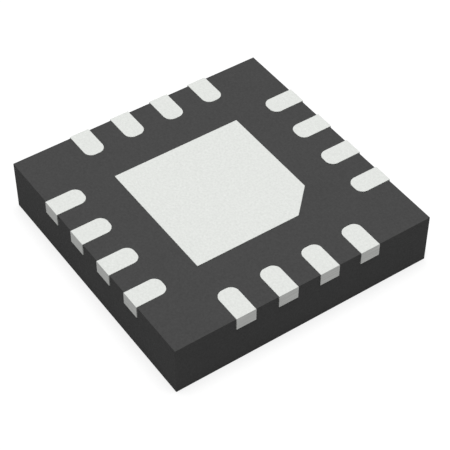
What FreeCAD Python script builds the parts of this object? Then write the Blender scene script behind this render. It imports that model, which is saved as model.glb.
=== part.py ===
import FreeCAD, Part
import math
import os

# A quad flat no-lead chip: sixteen terminals round an exposed pad, in a sawn block of moulding compound.
# Millimetres. The marked face lies on Z = 0 and the terminals face +Z, as the chip is laid down on its back.
# Terminals count clockwise seen from +Z, and the first is on the +X side, next to the +X +Y corner.

# Moulded body
body_side = 4.00
body_height = 0.79
dot_diameter = 0.40
dot_depth = 0.02
dot_inset = 0.50  # from each side of the body to the middle of the dot

# Copper leadframe: all leads and the paddle are etched from one sheet
frame_thickness = 0.20
etch_depth = 0.10  # taken off the terminal side where the compound has to grip
face_standoff = 0.015  # lands and pad above the compound
end_standoff = 0.015  # sawn lead ends beyond the compound

# Leads
leads_per_side = 4
lead_pitch = 0.65
lead_width = 0.30
land_length = 0.50
land_corner_radius = 0.12
tip_length = 0.12  # half-etched tip under the compound, inward of the land
row_shift = 0.024  # every row sits this far towards +X or +Y of the body's middle

# Die paddle
pad_side = 2.00
pad_chamfer = 0.40  # on the corner beside the first terminal
flange_width = 0.10
tie_bar_width = 0.15
tie_bar_cover = 0.12  # compound between a tie bar's end and the sides of the body

# Silicon die and the adhesive under it
die_side = 1.40
die_thickness = 0.22
attach_thickness = 0.02
attach_fillet = 0.05  # adhesive squeezed out round the die

# Bond wires
wire_diameter = 0.025
wire_flats = 8  # the round section is drawn with this many flats
ball_diameter = 0.070
ball_height = 0.022
ball_profile = ((0.0, 0.8), (0.4, 1.0), (1.0, 0.7))  # shares of the ball's height and of its radius
neck_length = 0.025  # upright wire above the ball
loop_height = 0.11
loop_bends = ((0.01, 0.78), (0.05, 0.96), (0.13, 1.0))  # shares of the wire's reach and of the loop's height
span_bulge = 0.045  # how far the long span bows above a straight line
span_bends = (0.35, 0.70)  # shares of the span
bond_inset = 0.10  # from the edge of the die to the balls
bond_pitch = 0.28
stitch_length = 0.06
stitch_width = 0.038
stitch_thickness = 0.008
stitch_inset = 0.09  # from the end of the lead's tip to the end of the stitch

# Levels along Z
frame_top = body_height + face_standoff
frame_bottom = frame_top - frame_thickness
shelf_top = frame_top - etch_depth
attach_top = frame_bottom - attach_thickness
die_face = attach_top - die_thickness

# Distances outward from the middle of the body
lead_end = body_side / 2 + end_standoff
land_start = lead_end - land_length
tip_start = land_start - tip_length
ball_row = die_side / 2 - bond_inset
stitch_end = tip_start + stitch_inset

Vector = FreeCAD.Vector
up = Vector(0, 0, 1)
middle = Vector(0, 0, 0)


def plate(outline, low, high):
    """Flat plate of a closed outline, from one level to another."""
    face = Part.Face(outline)
    face.translate(Vector(0, 0, low))
    return face.extrude(Vector(0, 0, high - low))


def square_plate(side, low, high):
    """Square plate centred on the body."""
    return Part.makeBox(side, side, high - low, Vector(-side / 2, -side / 2, low))


def bar_along_x(start, end, width, low, high):
    return Part.makeBox(end - start, width, high - low, Vector(start, -width / 2, low))


def land_outline():
    """Outline of a land that points along +X: square at the sawn end, rounded corners at the inner end."""
    half = lead_width / 2
    inner = half - land_corner_radius
    tangent = land_start + land_corner_radius
    cut = land_corner_radius * (1 - math.sqrt(0.5))
    right = [Vector(tangent, -half, 0), Vector(land_start + cut, cut - half, 0), Vector(land_start, -inner, 0)]
    left = [Vector(land_start, inner, 0), Vector(land_start + cut, half - cut, 0), Vector(tangent, half, 0)]
    far_left = Vector(lead_end, half, 0)
    far_right = Vector(lead_end, -half, 0)
    edges = [
        Part.LineSegment(far_right, right[0]),
        Part.Arc(*right),
        Part.LineSegment(right[-1], left[0]),
        Part.Arc(*left),
        Part.LineSegment(left[-1], far_left),
        Part.LineSegment(far_left, far_right),
    ]
    return Part.Wire([edge.toShape() for edge in edges])


def chamfered_square(side, chamfer):
    """Outline of a centred square with its +X +Y corner cut off."""
    half = side / 2
    cut = half - chamfer
    corners = [(half, -half), (half, cut), (cut, half), (-half, half), (-half, -half), (half, -half)]
    return Part.makePolygon([Vector(x, y, 0) for x, y in corners])


def lead():
    """Lead that points along +X: a land of full thickness and a half-etched tip on the die side."""
    land = plate(land_outline(), frame_bottom, frame_top)
    tip = bar_along_x(tip_start, lead_end, lead_width, frame_bottom, shelf_top)
    return land.fuse(tip).removeSplitter()


def tie_bar(quarter):
    """Half-etched bar from the paddle towards one corner, which ends inside the compound."""
    reach = math.sqrt(2) * (body_side / 2 - tie_bar_cover) - tie_bar_width / 2
    bar = bar_along_x(0, reach, tie_bar_width, frame_bottom, shelf_top)
    bar.rotate(middle, up, 45 + 90 * quarter)
    return bar


def die_paddle():
    """Exposed pad with the half-etched flange and tie bars that lock it into the compound."""
    pad = plate(chamfered_square(pad_side, pad_chamfer), frame_bottom, frame_top)
    flange_chamfer = pad_chamfer + flange_width * (2 - math.sqrt(2))
    flange_outline = chamfered_square(pad_side + 2 * flange_width, flange_chamfer)
    flange = plate(flange_outline, frame_bottom, shelf_top)
    bars = [tie_bar(quarter) for quarter in range(4)]
    return pad.fuse([flange] + bars).removeSplitter()


def die_attach():
    """Layer of adhesive whose squeezed-out edge slopes from the paddle up to the die."""
    slab = square_plate(die_side + 2 * attach_fillet, attach_top, frame_bottom)
    half_way = (attach_top + frame_bottom) / 2
    rim = [edge for edge in slab.Edges if edge.BoundBox.ZMax < half_way]
    return slab.makeChamfer(attach_thickness / 2, rim)


def silicon_die():
    return square_plate(die_side, die_face, attach_top)


def ring(centre, across, rise, half_width, half_height):
    """Corners of one section of a wire: a circle or ellipse drawn with flats, one of them underneath."""
    corner = 1 / math.cos(math.pi / wire_flats)
    points = []
    for n in range(wire_flats):
        angle = (2 * n + 1) * math.pi / wire_flats - math.pi / 2
        sideways = across * (half_width * corner * math.cos(angle))
        points.append(centre + sideways + rise * (half_height * corner * math.sin(angle)))
    return points


def polygon_face(points):
    return Part.Face(Part.makePolygon(points + points[:1]))


def skin(rings):
    """Closed solid through a row of rings, with flat faces between neighbouring rings."""
    faces = [polygon_face(rings[0]), polygon_face(rings[-1])]
    for first, second in zip(rings, rings[1:]):
        for n in range(wire_flats):
            m = (n + 1) % wire_flats
            faces.append(polygon_face([first[n], first[m], second[m]]))
            faces.append(polygon_face([first[n], second[m], second[n]]))
    solid = Part.Solid(Part.Shell(faces)).removeSplitter()
    return solid.reversed() if solid.Volume < 0 else solid


def loop_stations(reach, landing):
    """Centreline of a wire as (distance, rise) from the foot of its ball, up to where it touches the lead."""
    height = loop_height - wire_diameter / 2
    stations = [Vector(0, ball_height + neck_length, 0)]
    stations += [Vector(far * reach, high * height, 0) for far, high in loop_bends]
    crown = stations[-1]
    touch = Vector(reach - stitch_length, landing + wire_diameter / 2, 0)
    for share in span_bends:
        bow = Vector(0, span_bulge * math.sin(math.pi * share), 0)
        stations.append(crown + (touch - crown) * share + bow)
    return stations + [touch]


def mitre_heading(stations, n):
    """Direction halfway between the runs that meet at a station, and the cosine of half their turn."""
    arrive = (stations[n] - stations[n - 1]).normalize() if n else Vector(0, 1, 0)
    last = n == len(stations) - 1
    leave = Vector(1, 0, 0) if last else (stations[n + 1] - stations[n]).normalize()
    heading = (arrive + leave).normalize()
    return heading, heading.dot(arrive)


def bond_wire(start, end):
    """Wire from its ball on the die to its stitch on a lead. Rise counts from the die's face, towards -Z."""
    run = end - start
    reach = math.hypot(run.x, run.y)
    along = Vector(run.x / reach, run.y / reach, 0)
    across = along.cross(up)
    landing = start.z - end.z
    radius = wire_diameter / 2

    def place(distance, rise):
        return start + along * distance - up * rise

    rings = []
    for high, wide in ball_profile:
        size = wide * ball_diameter / 2
        rings.append(ring(place(0, high * ball_height), across, along * -1, size, size))
    stations = loop_stations(reach, landing)
    for n, station in enumerate(stations):
        heading, half_turn_cosine = mitre_heading(stations, n)
        upright = along * -heading.y - up * heading.x
        rings.append(ring(place(station.x, station.y), across, upright, radius, radius / half_turn_cosine))
    flat = stitch_thickness / 2
    rings.append(ring(place(reach, landing + flat), across, up * -1, stitch_width / 2, flat))
    return skin(rings)


def terminals():
    """Side (clockwise from +X), order on that side and place along it, for each terminal in turn."""
    layout = []
    for side in range(4):
        tangent = FreeCAD.Rotation(up, -90 * side).multVec(Vector(0, 1, 0))
        shift = row_shift * (tangent.x + tangent.y)
        for n in range(leads_per_side):
            order = (leads_per_side - 1) / 2 - n
            layout.append((side, order, order * lead_pitch + shift))
    return layout


def mould_body(contents):
    """Block of compound, sawn square and moulded round all the contents, with a dot at the first terminal."""
    block = square_plate(body_side, 0, body_height)
    dot_place = body_side / 2 - dot_inset
    dot = Part.makeCylinder(dot_diameter / 2, dot_depth, Vector(dot_place, dot_place, 0))
    return block.cut(contents + [dot])


def build():
    """Every piece of the chip by its name."""
    pieces = {"die_paddle": die_paddle(), "die_attach": die_attach(), "silicon_die": silicon_die()}
    for number, (side, order, place) in enumerate(terminals(), 1):
        metal = lead()
        metal.translate(Vector(0, place, 0))
        ball = Vector(ball_row, order * bond_pitch, die_face)
        wire = bond_wire(ball, Vector(stitch_end, place, frame_bottom))
        for name, piece in (("lead", metal), ("bond_wire", wire)):
            piece.rotate(middle, up, -90 * side)
            pieces["%s_%02d" % (name, number)] = piece
    pieces["mould_body"] = mould_body(list(pieces.values()))
    return pieces


os.makedirs("parts", exist_ok=True)
for name, shape in build().items():
    shape.exportStep("parts/%s.step" % name)
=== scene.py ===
import math

import bmesh
import bpy
import numpy as np
from mathutils import Matrix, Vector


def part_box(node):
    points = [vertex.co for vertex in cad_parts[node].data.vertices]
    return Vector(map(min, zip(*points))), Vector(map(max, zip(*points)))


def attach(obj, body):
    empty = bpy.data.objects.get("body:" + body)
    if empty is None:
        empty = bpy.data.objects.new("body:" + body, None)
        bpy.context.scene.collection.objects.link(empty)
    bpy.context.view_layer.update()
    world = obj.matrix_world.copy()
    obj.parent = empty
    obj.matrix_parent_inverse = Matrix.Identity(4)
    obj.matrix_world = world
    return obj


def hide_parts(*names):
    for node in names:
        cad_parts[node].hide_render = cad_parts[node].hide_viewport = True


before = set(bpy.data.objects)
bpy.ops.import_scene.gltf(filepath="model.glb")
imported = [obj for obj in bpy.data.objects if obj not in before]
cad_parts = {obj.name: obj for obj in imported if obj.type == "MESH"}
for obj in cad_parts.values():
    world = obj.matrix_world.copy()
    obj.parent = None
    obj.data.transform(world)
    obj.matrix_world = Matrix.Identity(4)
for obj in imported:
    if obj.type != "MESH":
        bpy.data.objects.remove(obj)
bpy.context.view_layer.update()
print("Frame loaded:", len(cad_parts), "nodes")

# A flat no-lead chip lying on its marked face, terminals up. Sizes in this file are millimetres unless
# a note says otherwise, and Blender gets metres.
mm = 0.001
chipSides = 4  # and as many corners, each a quarter turn on from the last
leadsPerSide = 4
leadNumbers = range(1, chipSides * leadsPerSide + 1)
diagonal = math.sqrt(2)  # of a square, in its sides

sameSpot = 1e-5  # points nearer than this become one
sameFlat = 0.01  # degrees by which two faces of one flat may differ
sameLevel = 1e-4  # how far from a side a face may lie and still be on it
sharpTurn = 40  # degrees; an edge where the surface turns by more is sharp
facingShare = 0.5  # a face looks in a direction when more than this share of its normal does

scene = bpy.context.scene
scene.view_settings.view_transform = "Standard"


# Shapes

def mmBox(node):
    # Lowest and highest corner of a node, in millimetres
    low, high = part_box(node)
    return np.array(low) / mm, np.array(high) / mm


def joinPoints(mesh):
    # Points that fall together become one
    skin = bmesh.new()
    skin.from_mesh(mesh)
    bmesh.ops.remove_doubles(skin, verts=skin.verts, dist=sameSpot * mm)
    skin.to_mesh(mesh)
    skin.free()


def addObject(name, data):
    # An object at the origin that holds this mesh, camera or lamp
    piece = bpy.data.objects.new(name, data)
    scene.collection.objects.link(piece)
    return piece


def addPiece(name, points, faces):
    # Points are rows of x, y, z in millimetres
    mesh = bpy.data.meshes.new(name)
    mesh.from_pydata(points * mm, [], faces)
    joinPoints(mesh)
    return addObject(name, mesh)


def joinedCopy(node):
    # A CAD mesh is loose triangles, so a copy that has to be solid gets them joined
    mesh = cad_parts[node].data.copy()
    joinPoints(mesh)
    return addObject(node + "Copy", mesh)


def skinRings(name, rings):
    # Closed skin over rings of points (ring, point, xyz): a four-sided face for each step along and around,
    # and a flat polygon over the first and the last ring. Faces look outwards when the rings run
    # anticlockwise seen from the last one.
    count, around = rings.shape[:2]
    index = np.arange(count * around).reshape(count, around)
    ahead = np.roll(index, -1, axis=1)
    walls = np.stack([index[:-1], ahead[:-1], ahead[1:], index[1:]], axis=-1).reshape(-1, 4)
    faces = walls.tolist() + [index[0, ::-1].tolist(), index[-1].tolist()]
    return addPiece(name, rings.reshape(-1, 3), faces)


def stackOutlines(outlines, levels):
    # Each outline (point, xy) is lifted to its own level, which gives one ring
    heights = np.repeat(np.array(levels, float)[:, None], outlines[0].shape[0], axis=1)
    return np.concatenate([np.array(outlines), heights[:, :, None]], axis=2)


def turnQuarters(points, turns):
    # Quarter turns about the middle of the chip, clockwise seen from above: x, y becomes y, -x each time
    angle = -turns * np.pi / 2
    cosine, sine = round(math.cos(angle)), round(math.sin(angle))
    turned = np.array(points, float)
    turned[..., 0] = points[..., 0] * cosine - points[..., 1] * sine
    turned[..., 1] = points[..., 0] * sine + points[..., 1] * cosine
    return turned


def breakEdges(piece, width, segments):
    # Rounds off every sharp edge
    bevel = piece.modifiers.new("brokenEdges", "BEVEL")
    bevel.width = width * mm
    bevel.segments = segments
    bevel.limit_method = "ANGLE"
    bevel.angle_limit = math.radians(sharpTurn)


def applyModifiers(piece):
    # The finished shape becomes the piece's own mesh
    graph = bpy.context.evaluated_depsgraph_get()
    made = bpy.data.meshes.new_from_object(piece.evaluated_get(graph))
    made.name = piece.name
    piece.modifiers.clear()
    piece.data = made


def cleanFlats(mesh):
    # Neighbouring faces of one flat become one, and each is then split into its best-shaped triangles,
    # which takes away the slivers that a cut leaves
    skin = bmesh.new()
    skin.from_mesh(mesh)
    bmesh.ops.dissolve_limit(skin, angle_limit=math.radians(sameFlat), verts=skin.verts, edges=skin.edges)
    bmesh.ops.triangulate(skin, faces=skin.faces, quad_method="BEAUTY", ngon_method="BEAUTY")
    skin.to_mesh(mesh)
    skin.free()


def smoothWalls(piece):
    # Four-sided faces are shaded as one round surface, and the flat ends stay flat
    corners = np.empty(len(piece.data.polygons), np.int32)
    piece.data.polygons.foreach_get("loop_total", corners)
    piece.data.polygons.foreach_set("use_smooth", corners == 4)


def dressFaces(piece, materials, slots=None):
    # One material slot number for each face. Without them every face gets the first material
    piece.data.materials.clear()
    for material in materials:
        piece.data.materials.append(material)
    if slots is not None:
        piece.data.polygons.foreach_set("material_index", slots.astype(np.int32))
        piece.data.update()


def faceRows(piece, what):
    # The "center" or the "normal" of every face, one row each
    rows = np.empty(len(piece.data.polygons) * 3)
    piece.data.polygons.foreach_get(what, rows)
    return rows.reshape(-1, 3)


# Materials

def linear(hexColour):
    # sRGB "#rrggbb" as linear red, green and blue by the standard's own curve, with an alpha of 1
    shares = [int(hexColour[k:k + 2], 16) / 255 for k in (1, 3, 5)]
    return [s / 12.92 if s <= 0.04045 else ((s + 0.055) / 1.055) ** 2.4 for s in shares] + [1.0]


def addNode(tree, kind, inputs=None, stops=(), **settings):
    # A node with its settings. Each input is a value, or the output socket that feeds it, and each stop is a
    # place on a colour ramp and its hex colour
    node = tree.nodes.new("ShaderNode" + kind)
    for name, value in settings.items():
        setattr(node, name, value)
    for number, (position, hexColour) in enumerate(stops):
        node.color_ramp.elements[number].position = position
        node.color_ramp.elements[number].color = linear(hexColour)
    for name, value in (inputs or {}).items():
        if isinstance(value, bpy.types.NodeSocket):
            tree.links.new(value, node.inputs[name])
        else:
            node.inputs[name].default_value = value
    return node


def openMaterial(name):
    # A material with no nodes yet
    material = bpy.data.materials.new(name)
    material.use_nodes = True
    tree = material.node_tree
    tree.nodes.clear()
    return material, tree


def finishMaterial(tree, finish, height, relief):
    # The shader with its finish, over a relief whose full height is given in millimetres
    bump = addNode(tree, "Bump", {"Height": height, "Distance": relief * mm})
    shader = addNode(tree, "BsdfPrincipled", {**finish, "Normal": bump.outputs[0]})
    addNode(tree, "OutputMaterial", {"Surface": shader.outputs[0]})


def perMetre(size):
    # Texture scale for a pattern of that many millimetres
    return 1 / (size * mm)


def longer(times):
    # Scale of a Mapping node that draws a pattern that many times longer along the chip's plane
    return 1 / times, 1 / times, 1.0


# Finer layers laid over a noise, and the strength of each beside the one before
crispNoise = {"Detail": 3.0, "Roughness": 0.6}
softNoise = {"Detail": 2.0, "Roughness": 0.5}

mouldingCompound = {
    "tones": ((0.0, "#404040"), (1.0, "#525252")),  # place on the ramp and colour
    "toneSpan": (0.1, 1.1),  # grain and cloud added up, at the two ends of the ramp
    "grain": 0.030,  # real filler beads are 10 to 70 micrometres across
    "cloud": 0.60,  # slow change of tone where the resin flowed
    "cloudShare": 0.2,  # its strength beside the grain's
    "roughness": (0.78, 0.90),
    "specular": 0.03,  # the beads scatter nearly all of the gloss
    "relief": 0.0010,
    "sawLine": 0.012,  # a blade leaves finer lines, which wouldn't show
    "sawStretch": 50.0,  # how much longer than wide a line is
    "sawRelief": 0.0040,  # of grain and lines together
}


def epoxyCompound(name, sawn):
    # Epoxy resin packed with silica beads, black with carbon: dull and even, with a fine pale grain.
    # Where the blade cut it, faint lines run along the side.
    look = mouldingCompound
    material, tree = openMaterial(name)
    place = addNode(tree, "TexCoord").outputs["Object"]
    grain = addNode(tree, "TexNoise", {"Vector": place, "Scale": perMetre(look["grain"]), **crispNoise})
    grain = grain.outputs["Fac"]
    cloud = addNode(tree, "TexNoise", {"Vector": place, "Scale": perMetre(look["cloud"]), **softNoise})
    faint = addNode(tree, "Math", {0: cloud.outputs["Fac"], 1: look["cloudShare"]}, operation="MULTIPLY")
    mixed = addNode(tree, "Math", {0: grain, 1: faint.outputs[0]}, operation="ADD")
    first, last = look["toneSpan"]
    share = addNode(tree, "MapRange", {"Value": mixed.outputs[0], "From Min": first, "From Max": last})
    tone = addNode(tree, "ValToRGB", {"Fac": share.outputs[0]}, look["tones"])
    low, high = look["roughness"]
    rough = addNode(tree, "MapRange", {"Value": grain, "To Min": low, "To Max": high})
    height = grain
    relief = look["relief"]
    if sawn:
        along = addNode(tree, "Mapping", {"Vector": place, "Scale": longer(look["sawStretch"])}).outputs[0]
        lines = addNode(tree, "TexNoise", {"Vector": along, "Scale": perMetre(look["sawLine"]), **softNoise})
        height = addNode(tree, "Math", {0: grain, 1: lines.outputs["Fac"]}, operation="ADD").outputs[0]
        relief = look["sawRelief"]
    finish = {
        "Base Color": tone.outputs["Color"],
        "Roughness": rough.outputs[0],
        "Specular IOR Level": look["specular"],
    }
    finishMaterial(tree, finish, height, relief)
    return material


tinPlating = {
    "tones": ((0.25, "#e1e3e0"), (0.75, "#eff1ee")),
    "grain": 0.032,  # tin crystals are under 10 micrometres, too fine to show
    "stretch": 1.0,
    "roughness": (0.50, 0.62),
    "relief": 0.0006,
    "grazing": "#ffffff",  # colour of the gloss seen at a flat angle
}

# Painted shade: darker tones and a dimmer gloss at a flat angle for the etched sides, which look sideways or
# down, over their real pitted grain
etchedSidesPaintedShade = {
    "tones": ((0.25, "#9d9e9c"), (0.75, "#b0b1af")),
    "grain": 0.020,
    "stretch": 1.0,
    "roughness": (0.58, 0.68),
    "relief": 0.0010,
    "grazing": "#dddddd",
}

# Painted shade: darker tones and a dimmer gloss at a flat angle for the sawn ends, which look sideways, over
# the blade's real lines
sawnEndsPaintedShade = {
    "tones": ((0.25, "#9d9e9c"), (0.75, "#b0b1af")),
    "grain": 0.018,  # blade grit of 5 to 10 micrometres leaves finer lines
    "stretch": 20.0,  # how much longer than high a line is
    "roughness": (0.55, 0.65),
    "relief": 0.0006,
    "grazing": "#dddddd",
}


def tinnedMetal(name, look):
    # Tin over copper alloy. Plated from a matte bath it is almost white and silky, with a crystal grain. On
    # the etched sides it is pitted, and the blade smears it over the ends in fine lines; there the darker
    # tones and dimmer gloss are painted shade.
    material, tree = openMaterial(name)
    place = addNode(tree, "TexCoord").outputs["Object"]
    along = addNode(tree, "Mapping", {"Vector": place, "Scale": longer(look["stretch"])}).outputs[0]
    grain = addNode(tree, "TexNoise", {"Vector": along, "Scale": perMetre(look["grain"]), **crispNoise})
    grain = grain.outputs["Fac"]
    tone = addNode(tree, "ValToRGB", {"Fac": grain}, look["tones"])
    low, high = look["roughness"]
    rough = addNode(tree, "MapRange", {"Value": grain, "To Min": low, "To Max": high})
    finish = {
        "Base Color": tone.outputs["Color"],
        "Metallic": 1.0,
        "Roughness": rough.outputs[0],
        "Specular Tint": linear(look["grazing"]),
    }
    finishMaterial(tree, finish, grain, look["relief"])
    return material


compoundMoulded = epoxyCompound("mouldedCompound", sawn=False)
compoundSawn = epoxyCompound("sawnCompound", sawn=True)
metals = [  # in the order of their slots on a piece
    tinnedMetal("matteTin", tinPlating),
    # A darker copy of the tin: painted shade for faces that don't look up
    tinnedMetal("etchedTinPaintedShade", etchedSidesPaintedShade),
    # A darker copy of the tin: painted shade for the sawn ends
    tinnedMetal("sawnTinPaintedShade", sawnEndsPaintedShade),
]
print("Outer materials made")

# Leads

leadShape = {
    "landLength": 0.50,
    "cornerRadius": 0.12,  # inner corners of the land
    "cornerSteps": 16,
    "etchDepth": 0.10,  # the tip on the die side is that much thinner, and the compound covers it
    "edgeBreak": 0.008,  # etched and plated edges are never sharp
    "sawnBreak": 0.003,  # the saw leaves sharper ones round the end
    "edgeSegments": 3,
}


def quarterArc(x, y, radius, start, steps):
    # Quarter circle round x, y, anticlockwise from a start that counts quarter turns
    turn = (start + np.linspace(0, 1, steps + 1)) * np.pi / 2
    return np.stack([x + radius * np.cos(turn), y + radius * np.sin(turn)], axis=1)


def leadOutline(tipStart, end, half, inset, etched):
    # Outline of a lead with its edge moved inwards by the inset, and by less at the sawn end. It turns the
    # small corner there, runs along the side, turns the large inner corner and mirrors that. An etched
    # outline goes straight on along the side instead, to the square corner of the tip, with as many points.
    shape = leadShape
    small, large, steps = shape["sawnBreak"], shape["cornerRadius"], shape["cornerSteps"]
    tangent = end - shape["landLength"] + large
    radius = small * (1 - inset / shape["edgeBreak"])
    sawnCorner = quarterArc(end - small, half - inset - radius, radius, 0, shape["edgeSegments"])
    innerCorner = quarterArc(tangent, half - large, large - inset, 1, steps)
    if etched:
        share = np.linspace(0, 2, steps + 1)
        forward = tangent - (tangent - tipStart - inset) * np.minimum(share, 1)
        sideways = half - inset - (large - inset) * np.maximum(share - 1, 0)
        innerCorner = np.stack([forward, sideways], axis=1)
    side = np.concatenate([sawnCorner, innerCorner])
    return np.concatenate([side, side[::-1] * (1, -1)])


def makeLead(number):
    # The lead is built with its end towards +X and then turned to its side of the chip. Its outlines are
    # stacked from the die side up: the tip with its lower edge rounded by quarter-circle steps, the shelf
    # where the etching stopped, and the land with its upper edge rounded likewise.
    node = f"lead_{number:02d}"
    low, high = mmBox(node)
    side = (number - 1) // leadsPerSide
    corners = turnQuarters(np.array([low, high]), -side)
    tipStart, end = np.sort(corners[:, 0])
    right, left = np.sort(corners[:, 1])
    half = (left - right) / 2
    shelf = high[2] - leadShape["etchDepth"]
    turn = np.linspace(0, np.pi / 2, leadShape["edgeSegments"] + 1)
    insets = leadShape["edgeBreak"] * (1 - np.cos(turn))
    drops = leadShape["edgeBreak"] * (1 - np.sin(turn))
    tips = [leadOutline(tipStart, end, half, inset, True) for inset in [*insets[::-1], 0]]
    lands = [leadOutline(tipStart, end, half, inset, False) for inset in [0, *insets]]
    levels = [*(low[2] + drops[::-1]), shelf, shelf, *(high[2] - drops)]
    rings = stackOutlines(tips + lands, levels)
    rings[:, :, 1] += (left + right) / 2
    lead = skinRings(f"tinnedLead{number:02d}", turnQuarters(rings, side))
    outward = turnQuarters(np.array([1.0, 0.0, 0.0]), side)
    normals = faceRows(lead, "normal")
    # Faces that look outwards get the sawn tin, a darker copy of the tin as painted shade
    sawn = normals @ outward > facingShare
    # Other faces that don't look up get the etched tin, a darker copy of the tin as painted shade
    etched = normals[:, 2] < facingShare
    dressFaces(lead, metals, np.select([sawn, etched], [2, 1]))
    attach(lead, "root")
    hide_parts(node)
    return lead


leads = [makeLead(number) for number in leadNumbers]
print("Leads made:", len(leads))

# Die paddle

paddleShape = {
    "padSide": 2.00,
    "padChamfer": 0.40,
    "flange": 0.10,
    "barWidth": 0.15,
    "spareAt": (0.5, 0.25),  # extra points of the pad's outline, in half bar widths from its corner
    "etchDepth": 0.10,
    "edgeBreak": 0.008,
    "edgeSegments": 3,
}


def paddleOutlines(barReach):
    # For each corner the outline is drawn up to its diagonal and mirrored there. The wide outline follows the
    # flange and then the tie bar, which ends that far out along the diagonal; the narrow one follows the pad,
    # with as many points. The chamfer is beside the first terminal, and the flange keeps its width round it.
    shape = paddleShape
    pad = shape["padSide"] / 2
    flange = pad + shape["flange"]
    bar = shape["barWidth"] / 2
    away = bar * diagonal
    spare = np.array(shape["spareAt"])[:, None]
    wide, narrow = [], []
    for corner in range(chipSides):
        chamfer, flangeChamfer = 0.0, 0.0
        root = np.array([flange, flange - away])
        step = bar * np.array([0, -2])
        if corner == 0:
            chamfer = shape["padChamfer"]
            flangeChamfer = chamfer + shape["flange"] * (2 - diagonal)
            middle = flange - flangeChamfer / 2
            root = np.array([middle + away / 2, middle - away / 2])
            step = bar * np.array([1, -1])
        barEnd = (barReach + np.array([bar, -bar])) / diagonal
        barTip = np.array([barReach, barReach]) / diagonal
        bend = [flange, flange - max(flangeChamfer, shape["padChamfer"])]
        wideHalf = np.array([[flange, 0], bend, root, barEnd, barTip])
        padBend = np.array([pad, pad - shape["padChamfer"]])
        padTip = np.full(2, pad - chamfer / 2)
        narrowHalf = np.array([[pad, 0], padBend, *(padTip + step * spare), padTip])
        for half, outline in ((wideHalf, wide), (narrowHalf, narrow)):
            mirrored = half[-2:0:-1, ::-1]
            outline.append(turnQuarters(np.concatenate([half, mirrored]), -corner))
    return np.concatenate(wide), np.concatenate(narrow)


def makePaddle():
    # The pad stands on its flange and tie bars, whose ends reach the sides of the paddle's box
    low, high = mmBox("die_paddle")
    wide, narrow = paddleOutlines(high[0] * diagonal - paddleShape["barWidth"] / 2)
    shelf = high[2] - paddleShape["etchDepth"]
    rings = stackOutlines([wide, wide, narrow, narrow], [low[2], shelf, shelf, high[2]])
    paddle = skinRings("tinnedPaddle", rings)
    breakEdges(paddle, paddleShape["edgeBreak"], paddleShape["edgeSegments"])
    applyModifiers(paddle)
    # Faces that don't look up get the etched tin, a darker copy of the tin as painted shade
    dressFaces(paddle, metals[:2], faceRows(paddle, "normal")[:, 2] < facingShare)
    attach(paddle, "root")
    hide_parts("die_paddle")
    return paddle


paddle = makePaddle()
print("Paddle made")

# Silicon die and the adhesive under it, which keep their CAD shapes

dieAdhesive = {
    "tones": ((0.1, "#86837a"), (0.9, "#b5b2a6")),
    "flake": 0.010,  # silver flakes are 2 to 20 micrometres across
    "roughness": 0.45,
    "metallic": 0.6,
    "relief": 0.0015,
}

silicon = {
    "bare": "#4a4e57",
    "etched": "#5b5a6c",
    "metalled": "#8f8a86",
    "cell": 0.060,  # the smallest real circuits are a thousand times finer
    "blockWidth": 2.0,  # in cells
    "blockHeight": 1.0,
    "gap": 0.006,
    "roughness": 0.12,
    "relief": 0.0004,
}


def silverEpoxy():
    # Epoxy filled with silver flakes, cured under the die: a dull grey-buff paste that glints here and there
    look = dieAdhesive
    material, tree = openMaterial("silverFilledEpoxy")
    place = addNode(tree, "TexCoord").outputs["Object"]
    flakes = addNode(tree, "TexVoronoi", {"Vector": place, "Scale": perMetre(look["flake"])})
    shade = addNode(tree, "RGBToBW", {"Color": flakes.outputs["Color"]}).outputs[0]
    tone = addNode(tree, "ValToRGB", {"Fac": shade}, look["tones"])
    finish = {
        "Base Color": tone.outputs["Color"],
        "Metallic": look["metallic"],
        "Roughness": look["roughness"],
    }
    finishMaterial(tree, finish, flakes.outputs["Distance"], look["relief"])
    return material


def polishedSilicon():
    # One crystal of silicon, sawn from a polished wafer: dark grey and mirror-bright. The face that looks
    # down in this frame carries the circuit, which shows as rows of tinted blocks that stand up a little.
    look = silicon
    material, tree = openMaterial("polishedSilicon")
    place = addNode(tree, "TexCoord").outputs
    blocks = addNode(
        tree,
        "TexBrick",
        {
            "Vector": place["Object"],
            "Scale": perMetre(look["cell"]),
            "Color1": linear(look["etched"]),
            "Color2": linear(look["metalled"]),
            "Mortar": linear(look["bare"]),
            "Mortar Size": look["gap"] / look["cell"],
            "Brick Width": look["blockWidth"],
            "Row Height": look["blockHeight"],
        },
    )
    facing = addNode(tree, "SeparateXYZ", {"Vector": place["Normal"]}).outputs["Z"]
    patterned = addNode(tree, "Math", {0: facing, 1: -facingShare}, operation="LESS_THAN").outputs[0]
    colours = {"Fac": patterned, "Color1": linear(look["bare"]), "Color2": blocks.outputs["Color"]}
    mixed = addNode(tree, "MixRGB", colours)
    masks = {0: patterned, 1: blocks.outputs["Fac"]}
    height = addNode(tree, "Math", masks, operation="SUBTRACT", use_clamp=True)
    finish = {"Base Color": mixed.outputs[0], "Metallic": 1.0, "Roughness": look["roughness"]}
    finishMaterial(tree, finish, height.outputs[0], look["relief"])
    return material


for node, material in (("die_attach", silverEpoxy()), ("silicon_die", polishedSilicon())):
    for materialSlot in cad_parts[node].material_slots:
        materialSlot.material = material
print("Die and adhesive dressed")

# Bond wires

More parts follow.
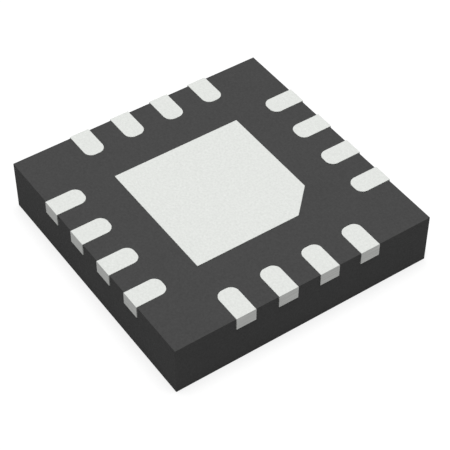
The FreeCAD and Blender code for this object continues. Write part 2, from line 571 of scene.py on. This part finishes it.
bondWire = {
    "diameter": 0.025,
    "around": 16,  # points round a section
    "ballDiameter": 0.070,
    "ballHeight": 0.022,
    "ballFoot": 0.8,  # share of the ball's diameter that is pressed flat on the die
    "ballSteps": 9,
    "ballRow": 0.60,  # from the middle of the chip to each row of balls
    "ballPitch": 0.28,
    "neckLength": 0.025,  # upright wire above the ball
    "loopHeight": 0.11,
    "loopBends": ((0.01, 0.78), (0.05, 0.96), (0.13, 1.0)),  # shares of the reach and of the loop's height
    "spanBulge": 0.045,  # how far the long span bows above a straight line
    "spanBends": (0.35, 0.70),
    "stepsPerSpan": 7,
    "stitchEnd": 1.485,  # from the middle of the chip
    "stitchLength": 0.06,
    "stitchWidth": 0.038,
    "stitchThickness": 0.008,
    "stitchSteps": 6,
}

goldFinish = {
    "tones": ((0.3, "#d9a441"), (0.7, "#efc468")),
    "drawLine": 0.004,  # real drawing lines are under a micrometre wide
    "lineStretch": 15.0,
    "roughness": 0.22,
    "relief": 0.0002,
}


def drawnGold():
    # Fine gold pulled through diamond dies: warm yellow and bright, with faint lines along the wire
    look = goldFinish
    material, tree = openMaterial("drawnGold")
    place = addNode(tree, "TexCoord").outputs["Object"]
    along = addNode(tree, "Mapping", {"Vector": place, "Scale": longer(look["lineStretch"])}).outputs[0]
    lines = addNode(tree, "TexNoise", {"Vector": along, "Scale": perMetre(look["drawLine"]), **softNoise})
    lines = lines.outputs["Fac"]
    tone = addNode(tree, "ValToRGB", {"Fac": lines}, look["tones"])
    finish = {"Base Color": tone.outputs["Color"], "Metallic": 1.0, "Roughness": look["roughness"]}
    finishMaterial(tree, finish, lines, look["relief"])
    return material


def wireStations(reach, landing):
    # The wire's main points as (distance, rise) from the foot of its ball: upright out of the ball, over the
    # loop's bends, and down a span bowed by half a sine wave to where it touches the lead
    shape = bondWire
    radius = shape["diameter"] / 2
    neck = [[0, shape["ballHeight"] + shape["neckLength"]]]
    loop = np.array(shape["loopBends"]) * (reach, shape["loopHeight"] - radius)
    touch = np.array([reach - shape["stitchLength"], landing + radius])
    share = np.array(shape["spanBends"])[:, None]
    bow = shape["spanBulge"] * np.sin(np.pi * share) * (0, 1)
    span = loop[-1] + (touch - loop[-1]) * share + bow
    return np.concatenate([neck, loop, span, [touch]])


def smoothLine(stations, steps):
    # Each span is a cubic in its share t that starts and ends on two stations, with unit slopes there. A
    # slope is the mean of its two runs, each weighted by the other's length. The line leaves upright and
    # lands level. The heading is the cubic's rate of change, and the last station closes both.
    runs = np.diff(stations, axis=0)
    gaps = np.linalg.norm(runs, axis=1)[:, None]
    runs = runs / gaps
    inner = runs[:-1] * gaps[1:] + runs[1:] * gaps[:-1]
    inner = inner / np.linalg.norm(inner, axis=1)[:, None]
    slopes = np.concatenate([[[0, 1]], inner, [[1, 0]]])
    t = np.linspace(0, 1, steps, endpoint=False)[None, :, None]
    start, end = stations[:-1, None], stations[1:, None]
    leave, arrive = (slopes[:-1] * gaps)[:, None], (slopes[1:] * gaps)[:, None]
    line = start + (end - start) * (3 * t**2 - 2 * t**3)
    line = line + leave * (t - 2 * t**2 + t**3) + arrive * (t**3 - t**2)
    heading = (end - start) * (6 * t - 6 * t**2)
    heading = heading + leave * (1 - 4 * t + 3 * t**2) + arrive * (3 * t**2 - 2 * t)
    heading = np.concatenate([heading.reshape(-1, 2), slopes[-1:]])
    heading = heading / np.linalg.norm(heading, axis=1)[:, None]
    return np.concatenate([line.reshape(-1, 2), stations[-1:]]), heading


def wireSections(reach, landing):
    # Centre, heading, half-width and half-height of every section. The ball is a squashed sphere, cut off
    # where it is pressed on the die and where the wire leaves it. The stitch goes from round to a thin flat.
    shape = bondWire
    radius, ball = shape["diameter"] / 2, shape["ballDiameter"] / 2
    turn = np.linspace(-math.acos(shape["ballFoot"]), math.acos(radius / ball), shape["ballSteps"])
    rise = shape["ballHeight"] * (np.sin(turn) - np.sin(turn[0])) / (np.sin(turn[-1]) - np.sin(turn[0]))
    ballCentres = rise[:, None] * (0, 1)
    ballSizes = ball * np.cos(turn)
    line, headings = smoothLine(wireStations(reach, landing), shape["stepsPerSpan"])
    share = np.linspace(0, 1, shape["stitchSteps"] + 1)[1:]
    press = np.sin(share * np.pi / 2)
    stitchWide = radius + (shape["stitchWidth"] / 2 - radius) * press
    stitchHigh = radius + (shape["stitchThickness"] / 2 - radius) * press
    stitch = np.stack([line[-1, 0] + share * shape["stitchLength"], landing + stitchHigh], axis=1)
    lineSizes = np.full(len(line), radius)
    centres = np.concatenate([ballCentres, line, stitch])
    headings = np.concatenate([np.tile((0, 1), (len(turn), 1)), headings, np.tile((1, 0), (len(share), 1))])
    wide = np.concatenate([ballSizes, lineSizes, stitchWide])
    high = np.concatenate([ballSizes, lineSizes, stitchHigh])
    return centres, headings, wide, high


def makeWire(number, material):
    # The sections are carried from the die's face to the lead. Rise counts downwards in this frame, because
    # the die hangs under the paddle. A section's flats touch its ellipse, and one of them lies on the lead.
    shape = bondWire
    side, order = divmod(number - 1, leadsPerSide)
    dieFace = mmBox("silicon_die")[0][2]
    leadLow, leadHigh = mmBox(f"lead_{number:02d}")
    leadPlace = turnQuarters((leadLow + leadHigh) / 2, -side)[1]
    start = np.array([shape["ballRow"], ((leadsPerSide - 1) / 2 - order) * shape["ballPitch"]])
    run = np.array([shape["stitchEnd"], leadPlace]) - start
    reach = np.linalg.norm(run)
    along = run / reach
    across = np.array([along[1], -along[0]])
    centres, headings, wide, high = wireSections(reach, dieFace - leadLow[2])
    half = math.pi / shape["around"]
    angle = (2 * np.arange(shape["around"]) + 1) * half - math.pi / 2
    sideways = np.outer(wide, np.cos(angle)) / math.cos(half)
    upright = np.outer(high, np.sin(angle)) / math.cos(half)
    distance = centres[:, :1] - headings[:, 1:] * upright
    rise = centres[:, 1:] + headings[:, :1] * upright
    flat = start + distance[..., None] * along + sideways[..., None] * across
    rings = np.concatenate([flat, (dieFace - rise)[..., None]], axis=2)
    wire = skinRings(f"goldWire{number:02d}", turnQuarters(rings, side))
    smoothWalls(wire)
    dressFaces(wire, [material])
    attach(wire, "root")
    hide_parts(f"bond_wire_{number:02d}")
    return wire


gold = drawnGold()
wires = [makeWire(number, gold) for number in leadNumbers]
print("Bond wires made:", len(wires))

# Moulded body

bodyShape = {
    "edgeBreak": 0.003,  # the saw leaves the edges sharp
    "edgeSegments": 2,
    "dotDiameter": 0.40,
    "dotDepth": 0.02,
    "dotInset": 0.50,
    "dotRound": 0.008,  # where the dot's wall meets its floor
    "dotSteps": 96,
    "dotRoundSteps": 6,
}


def dotPlug(place):
    # Round plug that shapes the dot: a circle carried up the wall and in over a quarter round
    radius, depth, rounding = bodyShape["dotDiameter"] / 2, bodyShape["dotDepth"], bodyShape["dotRound"]
    around = np.linspace(0, 2 * np.pi, bodyShape["dotSteps"], endpoint=False)
    turn = np.linspace(0, np.pi / 2, bodyShape["dotRoundSteps"] + 1)
    radii = np.concatenate([[radius], radius - rounding * (1 - np.cos(turn))])
    heights = np.concatenate([[-depth], depth - rounding * (1 - np.sin(turn))])
    circle = np.stack([np.cos(around), np.sin(around)], axis=1)
    outlines = [place + size * circle for size in radii]
    return skinRings("dotPlug", stackOutlines(outlines, heights))


def makeBody(contents):
    # A sawn block, less everything that it was moulded round and the dot. A face whose middle is out at the
    # block's side was sawn.
    low, high = mmBox("mould_body")
    square = np.array([[high[0], low[1]], [high[0], high[1]], [low[0], high[1]], [low[0], low[1]]])
    body = skinRings("mouldedBody", stackOutlines([square, square], [low[2], high[2]]))
    breakEdges(body, bodyShape["edgeBreak"], bodyShape["edgeSegments"])
    forms = [joinedCopy("die_attach"), joinedCopy("silicon_die"), dotPlug(high[:2] - bodyShape["dotInset"])]
    cutters = bpy.data.collections.new("contents")
    for piece in contents + forms:
        cutters.objects.link(piece)
    cut = body.modifiers.new("mouldedRound", "BOOLEAN")
    cut.operation = "DIFFERENCE"
    cut.operand_type = "COLLECTION"
    cut.collection = cutters
    cut.solver = "EXACT"
    applyModifiers(body)
    bpy.data.collections.remove(cutters)
    for form in forms:
        bpy.data.objects.remove(form)
    cleanFlats(body.data)
    reach = np.abs(faceRows(body, "center")[:, :2]).max(axis=1) / mm
    dressFaces(body, [compoundMoulded, compoundSawn], np.isclose(reach, high[0], atol=sameLevel))
    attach(body, "root")
    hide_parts("mould_body")
    return body


body = makeBody(leads + [paddle] + wires)
print("Moulded body made:", len(body.data.polygons), "faces")

# Camera, light and floor

cameraView = {
    "azimuth": 55.321,  # degrees round the chip, where 0 looks along +Y
    "elevation": 45.712,  # degrees above the floor
    "roll": 0.073,  # degrees
    "distance": 20.57,
    "aim": (-0.0443, 0.1467, 0.0),
    "lens": 119.43,
    "sensor": 36,
    "nearest": 1,
    "farthest": 2000,
}


def placeCamera():
    # The camera stands behind its aim, out along the azimuth and elevation, and rolls about that line
    view = cameraView
    azimuth, elevation, roll = np.radians([view["azimuth"], view["elevation"], view["roll"]])
    level = np.array([np.cos(azimuth), np.sin(azimuth), 0.0])
    away = np.array([np.sin(azimuth), -np.cos(azimuth), 0.0])
    back = away * np.cos(elevation) + np.array([0.0, 0.0, 1.0]) * np.sin(elevation)
    upright = np.cross(back, level)
    right = level * np.cos(roll) + upright * np.sin(roll)
    top = upright * np.cos(roll) - level * np.sin(roll)
    data = bpy.data.cameras.new("camera")
    data.lens = view["lens"]
    data.sensor_width = view["sensor"]
    data.clip_start = view["nearest"] * mm
    data.clip_end = view["farthest"] * mm
    camera = addObject("camera", data)
    stand = (np.array(view["aim"]) + back * view["distance"]) * mm
    turned = Matrix(np.stack([right, top, back], axis=1).tolist()).to_4x4()
    camera.matrix_world = Matrix.Translation(stand) @ turned
    scene.camera = camera


studio = {
    "fill": 0.36,  # strength of the room's own light
    "skylight": 2.09,  # strength of the lamp straight overhead
    "skylightSpread": 38.0,  # degrees across, which softens the shadow's edge
    "floorSide": 4000.0,
    "floorBounce": "#b7b7b7",  # the colour whose light falls back on the chip
    "floorLit": "#aaaaaa",  # the colour that the camera sees under the lamp
    "floorGlow": 0.66,  # what it sees besides, so that the floor is white
}


def seenDirectly(tree):
    # 1 for rays from the camera, off a gloss or through glass, and 0 for light that falls on the chip
    path = addNode(tree, "LightPath").outputs
    seen = path["Is Camera Ray"]
    for ray in ("Is Glossy Ray", "Is Transmission Ray"):
        seen = addNode(tree, "Math", {0: seen, 1: path[ray]}, operation="MAXIMUM").outputs[0]
    return seen


def lightRoom():
    # A white room whose light is soft and even, and one lamp overhead that metal doesn't mirror
    world = bpy.data.worlds.new("whiteRoom")
    scene.world = world
    world.use_nodes = True
    tree = world.node_tree
    tree.nodes.clear()
    white = linear("#ffffff")
    fill = addNode(tree, "Background", {"Color": white, "Strength": studio["fill"]})
    seen = addNode(tree, "Background", {"Color": white, "Strength": 1.0})
    mixed = addNode(tree, "MixShader", {0: seenDirectly(tree), 1: fill.outputs[0], 2: seen.outputs[0]})
    addNode(tree, "OutputWorld", {"Surface": mixed.outputs[0]})
    data = bpy.data.lights.new("skylight", "SUN")
    data.energy = studio["skylight"]
    data.angle = math.radians(studio["skylightSpread"])
    skylight = addObject("skylight", data)
    skylight.visible_camera = False
    skylight.visible_glossy = False


def layFloor():
    # Pale paper, white in the picture, that takes the chip's shadow
    corners = np.array([[1, -1, 0], [1, 1, 0], [-1, 1, 0], [-1, -1, 0]]) * studio["floorSide"] / 2
    floor = addPiece("floor", corners, [[0, 1, 2, 3]])
    material, tree = openMaterial("palePaper")
    bounce = addNode(tree, "BsdfDiffuse", {"Color": linear(studio["floorBounce"])})
    lit = addNode(tree, "BsdfDiffuse", {"Color": linear(studio["floorLit"])})
    glow = addNode(tree, "Emission", {"Color": linear("#ffffff"), "Strength": studio["floorGlow"]})
    seen = addNode(tree, "AddShader", {0: lit.outputs[0], 1: glow.outputs[0]})
    mixed = addNode(tree, "MixShader", {0: seenDirectly(tree), 1: bounce.outputs[0], 2: seen.outputs[0]})
    addNode(tree, "OutputMaterial", {"Surface": mixed.outputs[0]})
    dressFaces(floor, [material])


placeCamera()
lightRoom()
layFloor()
print("Camera, light and floor set")
